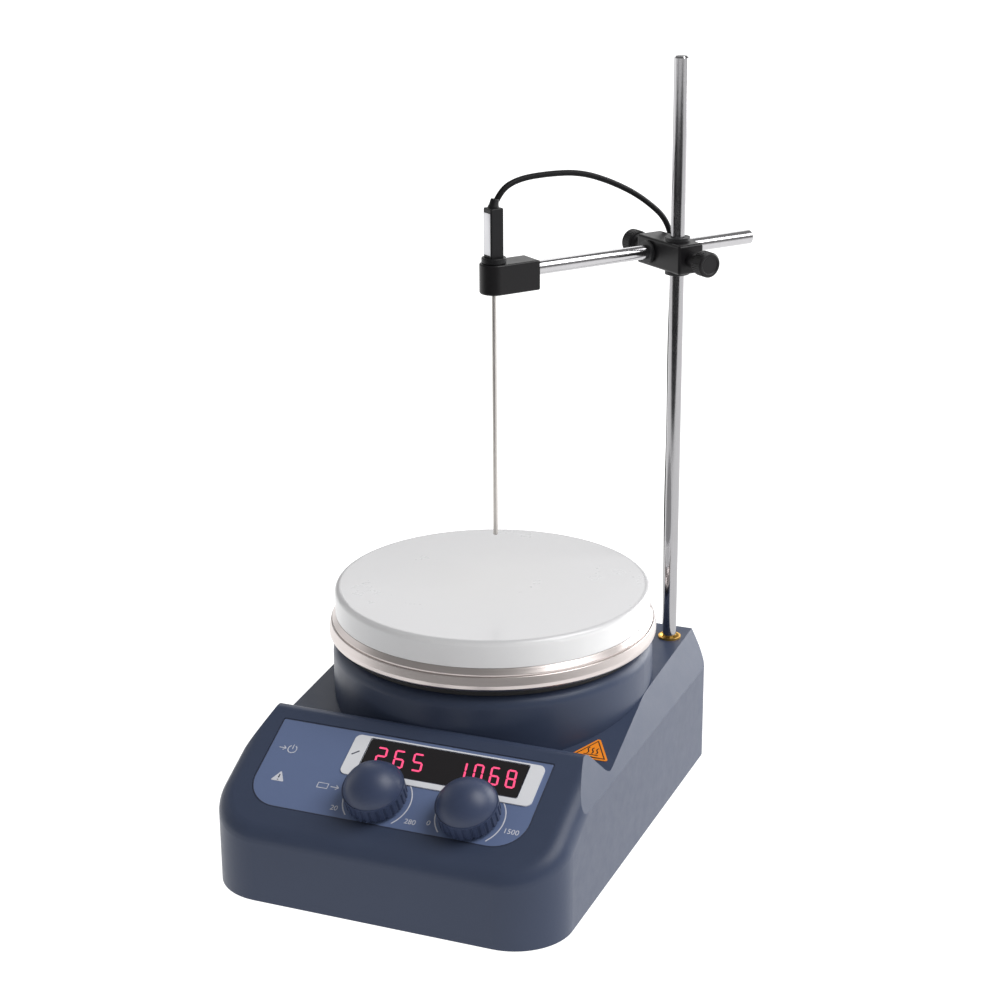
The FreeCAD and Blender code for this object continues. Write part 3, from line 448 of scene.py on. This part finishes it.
route = [arch(0.0, 262.3), arch(3.2, 268.6), arch(12.5, 272.4), arch(28.0, 272.7),
         arch(46.0, 271.2), arch(64.0, 264.8), arch(81.0, 256.0), arch(97.2, 243.0),
         arch(99.2, 222.0), (0.0503, 0.0847, 0.190), (0.0506, 0.0852, 0.152),
         (0.0502, 0.0847, 0.114), (0.0506, 0.0851, 0.078), (0.0504, 0.0856, 0.046),
         (0.0506, 0.0878, 0.020), (0.0495, 0.0955, 0.002), (0.0422, 0.1105, 0.0013)]
coil_centre = Vector((0.024, 0.1258, 0.00425))
coil_radius = 0.014
coil_turns = 6.25
coil_points = 16
ring_round = 0.00296
first_lie, lie_step = -45.0, 51.4
for step in range(int(coil_turns * coil_points) + 1):
    turns = step / coil_points
    angle = 2 * math.pi * turns
    lie = math.radians(first_lie - lie_step * turns)
    reach = (coil_radius + ring_round * math.cos(lie)) / math.cos(math.pi / coil_points)
    route.append((coil_centre.x + reach * math.cos(angle), coil_centre.y + reach * math.sin(angle),
                  coil_centre.z + ring_round * math.sin(lie)))
route += [(0.0125, 0.143, 0.002), (0.0005, 0.140, 0.0015), (-0.0045, 0.128, 0.0055),
          (0.0, 0.1155, 0.0165), (0.0134, 0.1055, 0.0266), (0.014, 0.093, 0.027)]


def spline_points(name, places, steps=12):
    """The points of a NURBS spline through Blender's own evaluation of it."""
    data = bpy.data.curves.new(name, "CURVE")
    data.dimensions = "3D"
    data.resolution_u = steps
    spline = data.splines.new("NURBS")
    spline.points.add(len(places) - 1)
    for point, place in zip(spline.points, places):
        point.co = (*place, 1.0)
    spline.order_u = 3
    spline.use_endpoint_u = True
    carrier = bpy.data.objects.new(name, data)
    bpy.context.scene.collection.objects.link(carrier)
    bpy.context.view_layer.update()
    mesh = bpy.data.meshes.new_from_object(carrier)
    points = [vertex.co.copy() for vertex in mesh.vertices]
    bpy.data.objects.remove(carrier)
    return points


def run_lengths(points):
    """How far along the line each point is."""
    total = [0.0]
    for before, after in zip(points, points[1:]):
        total.append(total[-1] + (after - before).length)
    return total


cord_line = spline_points("cord_line", route)
cord_far = run_lengths(cord_line)
print("cord", len(cord_line), "points", round(cord_far[-1], 4), "m")

# %% [markdown]
# ## Lengths of cord between the joints
# The stand has joints between sensor, arm, sleeve, boss head and rod, and the cord bridges all
# of them. It is cut into lengths at the middle of its runs, one for each pair of neighbouring
# bodies.

# %% Lengths of cord
def tube(name, points, radius, finish, sides=4):
    """A round tube along points, closed at both ends, as a mesh."""
    data = bpy.data.curves.new(name, "CURVE")
    data.dimensions = "3D"
    spline = data.splines.new("POLY")
    spline.points.add(len(points) - 1)
    for point, place in zip(spline.points, points):
        point.co = (*place, 1.0)
    data.bevel_depth = radius
    data.bevel_resolution = sides
    data.use_fill_caps = True
    piece = bpy.data.objects.new(name, data)
    bpy.context.scene.collection.objects.link(piece)
    bpy.ops.object.select_all(action="DESELECT")
    bpy.context.view_layer.objects.active = piece
    piece.select_set(True)
    bpy.ops.object.convert(target="MESH")
    piece = bpy.context.active_object
    bpy.ops.object.shade_smooth_by_angle(angle=math.radians(50))
    dress(piece, finish)
    return piece


def nearest_index(place):
    return min(range(len(cord_line)), key=lambda i: (cord_line[i] - Vector(place)).length)


def between(first, second):
    return (Vector(route[first]) + Vector(route[second])) / 2


cuts = [0, nearest_index(between(3, 4)), nearest_index(between(5, 6)),
        nearest_index(between(7, 8)), nearest_index(between(9, 10)),
        nearest_index(between(14, 15)), len(cord_line) - 1]
spans = [("cord_over_sensor", "sensor", "arm", "cord_lift"),
         ("cord_over_arm", "arm", "arm_carrier", "cord_reach"),
         ("cord_over_sleeve", "arm_carrier", "boss", "cord_roll"),
         ("cord_past_boss", "boss", "carriage", None),
         ("cord_behind_rod", "carriage", "base", "cord_drop")]
for (name, upper, lower, node), start, end in zip(spans, cuts, cuts[1:]):
    line = cord_line[start:end + 1]
    piece = tube(name, line, cord_radius, "cord_grey")
    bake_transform(piece)
    if node:
        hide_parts(node)
    print(name, round(run_lengths(line)[-1], 4), "m")

# %% [markdown]
# ## The coil and the plug end
# What is left over lies in a neat coil close behind the housing and ends in its plug. It stays
# on the base whatever joint moves, so one plain tube that rides on the base is enough.

# %% Coil of spare cord
bench_line = cord_line[cuts[-2]:]
bench_cord = tube("cord_on_bench", bench_line, cord_radius, "cord_grey")
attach(bench_cord, "base")
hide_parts("cord_coil", "cord_leads")
print("on the bench", round(run_lengths(bench_line)[-1], 4), "m")

# %% [markdown]
# ## Tools for making pieces
# Three ways of making cover everything small on this object. `stack` turns a form the way a
# lathe would: a disc is extruded upwards and scaled, ring by ring. `stroke` lays a flattened
# line, as ink or a moulded mark. `lettered` sets numerals. Each is made lying flat at the origin
# and is then put in its place in its own mesh, so that the object itself stays at the origin.

# %% Tools for making pieces
def begin():
    """Nothing is selected and nothing is in edit mode before a new piece is started."""
    if bpy.context.mode != "OBJECT":
        bpy.ops.object.mode_set(mode="OBJECT")
    bpy.ops.object.select_all(action="DESELECT")


def pick_faces(piece, wanted):
    """In edit mode, selects only the faces that pass a test of their middle and normal."""
    bpy.ops.mesh.select_all(action="DESELECT")
    bpy.context.tool_settings.mesh_select_mode = (False, False, True)
    form = bmesh.from_edit_mesh(piece.data)
    for face in form.faces:
        if wanted(face.calc_center_median(), face.normal):
            face.select_set(True)
    bmesh.update_edit_mesh(piece.data)


def finished(piece, name, finish, body, lay=None, smooth=35.0):
    """Leaves edit mode, puts the mesh in its place and tells the frame what it rides on."""
    if bpy.context.mode != "OBJECT":
        bpy.ops.mesh.select_all(action="SELECT")
        bpy.ops.mesh.normals_make_consistent(inside=False)
        bpy.ops.object.mode_set(mode="OBJECT")
    piece.name = name
    bpy.ops.object.select_all(action="DESELECT")
    bpy.context.view_layer.objects.active = piece
    piece.select_set(True)
    bpy.ops.object.shade_smooth_by_angle(angle=math.radians(smooth))
    if lay is not None:
        piece.data.transform(lay)
    dress(piece, finish)
    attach(piece, body)


def stack(rings, sides=48):
    """A turned form from (height, radius) pairs: a disc extruded and scaled ring by ring."""
    begin()
    low, radius = rings[0]
    bpy.ops.mesh.primitive_circle_add(vertices=sides, radius=radius, fill_type="NGON")
    piece = bpy.context.active_object
    bpy.ops.object.mode_set(mode="EDIT")
    bpy.ops.mesh.select_all(action="SELECT")
    bpy.ops.transform.translate(value=(0.0, 0.0, low))
    for high, wider in rings[1:]:
        bpy.ops.mesh.extrude_region_move(TRANSFORM_OT_translate={"value": (0, 0, high - low)})
        if wider != radius:
            share = wider / radius
            bpy.ops.transform.resize(value=(share, share, 1.0))
        low, radius = high, wider
    return piece


def along(place, way):
    """The matrix that stands a form made along Z at a place, pointing another way."""
    return Matrix.Translation(place) @ Vector(way).to_track_quat("Z", "Y").to_matrix().to_4x4()


def stroke(points, width, flat=0.16):
    """A line of ink or of painted shade: a thin tube through flat points, pressed almost flat."""
    begin()
    line = tube("line", [Vector((x, y, 0.0)) for x, y in points], width / 2, "print_white", 2)
    line.data.transform(Matrix.Diagonal((1.0, 1.0, flat, 1.0)))
    return line


def joined(pieces):
    """One piece out of several."""
    begin()
    for piece in pieces:
        piece.select_set(True)
    bpy.context.view_layer.objects.active = pieces[0]
    if len(pieces) > 1:
        bpy.ops.object.join()
    return bpy.context.active_object


def lettered(words, size, middle):
    """Numerals as a thin raised mesh, centred at a flat point."""
    begin()
    bpy.ops.object.text_add()
    piece = bpy.context.active_object
    piece.data.body = words
    piece.data.size = size
    piece.data.align_x = "CENTER"
    piece.data.align_y = "CENTER"
    piece.data.extrude = 0.00003
    bpy.ops.object.convert(target="MESH")
    piece = bpy.context.active_object
    piece.data.transform(Matrix.Translation((*middle, 0.0)))
    return piece


def arc(middle, radius, first, last, steps=60):
    """Flat points along part of a circle, angles in degrees."""
    turns = [math.radians(first + (last - first) * i / steps) for i in range(steps + 1)]
    return [(middle[0] + radius * math.cos(a), middle[1] + radius * math.sin(a)) for a in turns]


def milli(*pairs):
    """Flat points given in millimetres, in metres."""
    return [(x / 1000, y / 1000) for x, y in pairs]


panel_turn = math.radians(26.5)
panel_lay = Matrix.Translation((0.0, -0.128, 0.0332)) @ Matrix.Rotation(panel_turn, 4, "X")


def on_panel(lift):
    """The matrix for something made flat, lifted off the panel by some millimetres."""
    return panel_lay @ Matrix.Translation((0.0, 0.0, lift / 1000))


label_ink = on_panel(-0.13)
shade_line_and_sign_lay = on_panel(-0.14)
print("tools ready")

# %% [markdown]
# ## Lit digits
# Two groups of seven-segment digits shine through the smoked window: the plate's temperature at
# the left and the stirring speed at the right. Each bar is a strip with its corners cut, as the
# light guides of a real display are, and a group leans a little, as it does on most displays.

# %% Lit digits
bars_of = {"0": "abcdef", "1": "bc", "2": "abged", "5": "afgcd", "6": "afgedc", "8": "abcdefg"}
digit_low, digit_high, bar_width, digit_lean = 0.0420, 0.0509, 0.00085, 0.0014
window_top = 0.26


def lit_bar(x, y, length, upright):
    """One bar of a digit: a strip with cut corners, raised a little."""
    begin()
    bpy.ops.mesh.primitive_plane_add(size=1.0)
    bar = bpy.context.active_object
    bpy.ops.object.mode_set(mode="EDIT")
    bpy.ops.mesh.select_all(action="SELECT")
    size = (bar_width, length, 1.0) if upright else (length, bar_width, 1.0)
    bpy.ops.transform.resize(value=size)
    bpy.ops.mesh.bevel(offset=bar_width * 0.42, affect="VERTICES", segments=1)
    bpy.ops.mesh.extrude_region_move(TRANSFORM_OT_translate={"value": (0, 0, 0.00006)})
    bpy.ops.mesh.select_all(action="SELECT")
    bpy.ops.mesh.normals_make_consistent(inside=False)
    bpy.ops.object.mode_set(mode="OBJECT")
    bar.data.transform(Matrix.Translation((x, y, 0.0)))
    return bar


def digit(figure, left, width):
    """The lit bars of one figure, in a box from `left`, `width` wide."""
    right, half = left + width, (digit_high - digit_low) / 2
    centre, inner = digit_low + half, bar_width / 2
    across, tall = width - bar_width * 1.25, half - bar_width * 0.75
    spots = {
        "a": (left + width / 2, digit_high - inner, across, False),
        "g": (left + width / 2, centre, across, False),
        "d": (left + width / 2, digit_low + inner, across, False),
        "b": (right - inner, centre + half / 2 - inner / 2, tall, True),
        "c": (right - inner, centre - half / 2 + inner / 2, tall, True),
        "f": (left + inner, centre + half / 2 - inner / 2, tall, True),
        "e": (left + inner, centre - half / 2 + inner / 2, tall, True),
    }
    return [lit_bar(*spots[key]) for key in bars_of[figure]]


def lit_group(name, figures):
    """A group of figures, each given with its left edge and width in millimetres."""
    bars = []
    for figure, left, width in figures:
        bars += digit(figure, left / 1000, width / 1000)
    group = joined(bars)
    lean = Matrix.Identity(4)
    lean[0][1] = -digit_lean / (digit_high - digit_low)
    lean[0][3] = digit_lean * digit_high / (digit_high - digit_low)
    finished(group, name, "led_glow", "base", on_panel(window_top) @ lean)
    print(name, "".join(figure for figure, _, _ in figures))


lit_group("heat_digits", [("2", -16.4, 4.7), ("6", -8.5, 4.7), ("5", -0.3, 4.7)])
lit_group("speed_digits", [("1", 19.0, 4.2), ("0", 26.2, 4.2), ("6", 33.2, 4.2), ("8", 40.2, 4.2)])

# %% [markdown]
# ## Scales round the knobs
# Each knob stands in a printed ring that is open at the bottom, with its highest and lowest
# value at the ends. Ink on film is a few hundredths of a millimetre thick.

# %% Scales round the knobs
for name, x in (("heat_scale", -6.8), ("speed_scale", 33.1)):
    ring = stroke(arc((x / 1000, 0.026), 0.0141, -45.0, 225.0), 0.0005)
    finished(ring, name, "print_white", "base", label_ink)
numerals = [("280", 10.4, 18.2), ("0", 17.9, 19.3), ("1500", 51.6, 22.2), ("20", -22.6, 18.2)]
numeral_size = 3.3 / 1000
for words, x, y in numerals:
    piece = lettered(words, numeral_size, (x / 1000, y / 1000))
    finished(piece, "numeral_" + words, "print_white", "base", label_ink)
print("two scales and", len(numerals), "numerals")

# %% [markdown]
# ## Marks on the panel
# Small printed marks say what each control does: press, start, warm. They are plain strokes of
# ink, drawn as lines and joined. A fine border goes round the window, and a dark line round the
# label is painted shade: the thin shadow line along the label's edge.

# %% Marks on the panel
marks = {
    "press_mark": [milli((-33.9, 26.6), (-29.4, 26.6), (-29.4, 29.0), (-33.9, 29.0),
                         (-33.9, 26.6)),
                   milli((-28.2, 27.9), (-24.6, 27.9)),
                   milli((-25.9, 28.9), (-24.6, 27.9), (-25.9, 26.9))],
    "start_mark": [arc((-0.0518, 0.0426), 0.0019, 120.0, 420.0, 24),
                   milli((-51.8, 42.6), (-51.8, 45.0)),
                   milli((-57.6, 42.6), (-54.6, 42.6)),
                   milli((-55.8, 43.6), (-54.6, 42.6), (-55.8, 41.6))],
}
for name, lines in marks.items():
    piece = joined([stroke(line, 0.00036) for line in lines])
    finished(piece, name, "print_white", "base", label_ink)
begin()
bpy.ops.mesh.primitive_circle_add(vertices=3, radius=0.0034, fill_type="NGON")
warm_sign = bpy.context.active_object
bpy.ops.object.mode_set(mode="EDIT")
bpy.ops.mesh.select_all(action="SELECT")
bpy.ops.mesh.bevel(offset=0.0007, affect="VERTICES", segments=4)
bpy.ops.mesh.extrude_region_move(TRANSFORM_OT_translate={"value": (0, 0, 0.00005)})
finished(warm_sign, "warm_sign", "print_white", "base",
         shade_line_and_sign_lay @ Matrix.Translation((-0.0515, 0.0278, 0.0)))
warm_lines = [stroke(line, 0.00055) for line in (milli((-51.5, 26.6), (-51.5, 27.0)),
                                                 milli((-51.5, 27.7), (-51.5, 29.4)))]
finished(joined(warm_lines), "warm_mark", "print_dark", "base", on_panel(-0.07))
probe_mark = stroke(milli((-25.9, 44.9), (-23.2, 47.1)), 0.0006)
finished(probe_mark, "probe_mark", "print_dark", "base", on_panel(0.37))
print(len(marks) + 3, "marks")


def rounded_line(x0, x1, y0, y1, low_radius, high_radius):
    """Flat points round a rectangle with rounded corners, closed."""
    points = []
    r, q = high_radius, low_radius
    for x, y, radius, first in ((x1 - r, y1 - r, r, 0.0), (x0 + r, y1 - r, r, 90.0),
                                (x0 + q, y0 + q, q, 180.0), (x1 - q, y0 + q, q, 270.0)):
        points += arc((x, y), radius, first, first + 90.0, 12)
    return points + points[:1]


# Painted shadow: a dark line round the label's edge, where the label's step casts a thin shadow.
label_shade_line = stroke(rounded_line(-0.0616, 0.0576, 0.0139, 0.0571, 0.0136, 0.0008), 0.0004)
finished(label_shade_line, "label_edge_shade", "print_dark", "base", shade_line_and_sign_lay)
frame_line = stroke(rounded_line(-0.0207, 0.0485, 0.0378, 0.0545, 0.0006, 0.0006), 0.0003)
finished(frame_line, "window_border", "print_dark", "base", on_panel(0.36))
print("two borders")

# %% [markdown]
# ## Hot surface label
# A triangular film on the deck warns that the plate is hot: a dark border with three waves of
# heat over a line, in the manner of the usual safety sign.

# %% Hot surface label
deck_slope = math.radians(10.08)
film_thick, sign_reach = 0.00026, 0.0075
label_lay = (Matrix.Translation((0.0622, -0.0455, 0.050915))
             @ Matrix.Rotation(deck_slope, 4, "X")
             @ Matrix.Translation((0.0, 0.0, film_thick)))
corners = [(sign_reach * math.cos(math.radians(a)), sign_reach * math.sin(math.radians(a)))
           for a in (90.0, 210.0, 330.0)]
middle_low = ((corners[1][0] + corners[2][0]) / 2, corners[1][1])
lines = [stroke([middle_low, corners[2], corners[0], corners[1], middle_low], 0.0010, 0.06)]
for x in (-0.0019, 0.0, 0.0019):
    wave = [(x + 0.00045 * math.sin(i * math.pi / 6), -0.0014 + i * 0.00034) for i in range(13)]
    lines.append(stroke(wave, 0.00055, 0.1))
lines.append(stroke(milli((-3.1, -2.1), (3.1, -2.1)), 0.00055, 0.1))
finished(joined(lines), "hot_sign", "label_black", "base", label_lay)
print("hot sign done")

# %% [markdown]
# ## Knurled thumb screws
# The two screws of the boss head have short knurled heads. The head is turned with the neck and
# shank, then every second side face is pushed in, as a knurling wheel would do.

# %% Knurled thumb screws
arm_turn = math.radians(53.7)
across_way = Vector((-math.sin(arm_turn), math.cos(arm_turn), 0.0))
rod_place = Vector((*rod_axis, 0.2349))


def thumb_screw(name, place, way, shank, body):
    """A screw from the tip at the origin; `shank` is how deep it stands in the block."""
    face = shank + 0.0070
    piece = stack([(0.0, 0.0014), (0.0006, 0.0020), (shank - 0.0002, 0.0020),
                   (shank - 0.0001, 0.0032), (face - 0.0007, 0.0032), (face, 0.0040),
                   (face + 0.0001, 0.0047), (face + 0.0006, 0.0053), (face + 0.0054, 0.0053),
                   (face + 0.0060, 0.0047), (face + 0.00601, 0.0040), (face + 0.0057, 0.0036)],
                  sides=72)

    def side_face(middle, normal):
        reach = math.hypot(middle.x, middle.y)
        step = math.degrees(math.atan2(middle.y, middle.x)) // 5
        return reach > 0.0050 and abs(normal.z) < 0.1 and step % 2 == 0

    pick_faces(piece, side_face)
    bpy.ops.mesh.inset(thickness=0.00006, use_individual=True)
    bpy.ops.mesh.extrude_region_move()
    bpy.ops.transform.resize(value=(0.955, 0.955, 1.0))
    finished(piece, name, "screw_black", body, along(place, way), 28.0)
    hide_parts(name + "_screw")
    print(name, "screw with 36 knurls")


thumb_screw("rod_lock", rod_place - across_way * 0.0046, -across_way, 0.0054, "rod_lock")
thumb_screw("arm_lock", rod_place + across_way * 0.0166, across_way, 0.0044, "arm_lock")

# %% [markdown]
# ## Highlight plate of the sensor handle
# The handle's left face carries a bright metal plate that stands in for the highlight on that
# face: a painted highlight. It is a flat slab with its outer face set in and drawn out a little,
# which gives it the chamfered edge of a stamped part.

# %% Highlight plate of the sensor handle
handle_turn = Matrix.Translation((sensor_foot.x, sensor_foot.y, 0.0)) @ Matrix.Rotation(
    arm_turn, 4, "Z")
# Painted highlight: a bright metal slab stands in for the highlight on the handle's left face.
begin()
bpy.ops.mesh.primitive_cube_add(size=1.0)
plate = bpy.context.active_object
bpy.ops.object.mode_set(mode="EDIT")
bpy.ops.mesh.select_all(action="SELECT")
bpy.ops.transform.resize(value=(0.0003, 0.0050, 0.0172))
pick_faces(plate, lambda middle, normal: normal.x < -0.9)
bpy.ops.mesh.inset(thickness=0.0003)
bpy.ops.transform.translate(value=(-0.00012, 0.0, 0.0))
highlight_plate_lay = handle_turn @ Matrix.Translation((-0.00311, 0.0, 0.2518))
finished(plate, "handle_highlight_plate", "plate_alloy", "sensor", highlight_plate_lay)
print("handle plate done")

# %% [markdown]
# ## Sleeves at the ends of the cord
# A soft sleeve keeps the cord from kinking where it leaves the handle, and a ribbed one does the
# same at the plug. Both are turned forms that taper to the cord, and stand along its way out.

# %% Sleeves at the ends of the cord
start_way = (cord_line[3] - cord_line[0]).normalized()
sleeve = stack([(-0.0012, 0.0024), (0.0, 0.0024), (0.0006, 0.0023), (0.0012, 0.0020),
                (0.0030, 0.00175), (0.0036, 0.0015)])
finished(sleeve, "handle_sleeve", "cord_grip", "sensor",
         along(cord_line[0], (start_way + Vector((0, 0, 1.5))).normalized()))
rings = [(0.0, 0.0040)]
for step in range(4):
    low, wide = 0.0003 + step * 0.0018, 0.0040 - step * 0.00048
    rings += [(low, wide), (low + 0.0010, wide - 0.0001), (low + 0.0011, wide - 0.0006),
              (low + 0.0016, wide - 0.0006)]
rings += [(0.0078, 0.0018), (0.0080, 0.00135)]
plug_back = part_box("cord_plug")[1].y
tail = stack(rings)
finished(tail, "plug_sleeve", "cord_grip", "base",
         along((0.014, plug_back - 0.0068, 0.027), (0.0, 1.0, 0.0)))
print("two sleeves")

# %% [markdown]
# ## Tie round the coil
# A flat band holds the turns of the spare cord together, closed by a small lug. It is an open
# ring that gets its wall from solidify, and the lug is one of its faces drawn out.

# %% Tie round the coil
tie_turn = math.radians(250.0)
tie_place = coil_centre + Vector((math.cos(tie_turn), math.sin(tie_turn), 0.0)) * coil_radius
begin()
bpy.ops.mesh.primitive_cylinder_add(vertices=48, radius=0.00420, depth=0.0024,
                                    end_fill_type="NOTHING")
tie = bpy.context.active_object
bpy.ops.object.mode_set(mode="EDIT")
bpy.ops.mesh.select_all(action="SELECT")
bpy.ops.mesh.solidify(thickness=0.0005)
pick_faces(tie, lambda middle, normal: middle.x > 0.0040 and normal.x > 0.96)
bpy.ops.mesh.extrude_region_move(TRANSFORM_OT_translate={"value": (0.0014, 0, 0)})
bpy.ops.mesh.select_all(action="SELECT")
bpy.ops.transform.resize(value=(0.98, 1.0, 1.0))
tie_way = Vector((-math.sin(tie_turn), math.cos(tie_turn), 0.0))
tie_lay = Matrix.Translation(tie_place) @ Matrix(
    (Vector((0, 0, 1)), tie_way.cross(Vector((0, 0, 1))), tie_way)).transposed().to_4x4()
finished(tie, "cord_tie", "tie_white", "base", tie_lay)
print("tie round the coil")

# %% [markdown]
# ## Marks on the rocker
# The mains switch at the left has the usual line and ring for on and off, in white. Its face
# leans, so a ray from the side finds the spot and the way the face looks there.

# %% Marks on the rocker
rocker = frame["nodes"]["rocker"]
rocker_low, rocker_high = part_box("rocker")


def on_rocker(share):
    """The matrix for a mark on the rocker's face, at a share of its length from the front."""
    y = rocker_low.y + (rocker_high.y - rocker_low.y) * share
    _, spot, normal, _ = rocker.ray_cast((-0.2, y, 0.025), (1.0, 0.0, 0.0))
    right = Vector((0.0, 0.0, 1.0)).cross(normal).normalized()
    turned = Matrix((right, normal.cross(right), normal)).transposed().to_4x4()
    return Matrix.Translation(spot + normal * 0.00002) @ turned


on_mark = stroke([(0.0, -0.0014), (0.0, 0.0014)], 0.0005)
finished(on_mark, "on_mark", "print_white", "power_rocker", on_rocker(0.26))
off_mark = stroke(arc((0.0, 0.0), 0.0013, 0.0, 360.0, 32), 0.0005)
finished(off_mark, "off_mark", "print_white", "power_rocker", on_rocker(0.74))
print("rocker marks done")
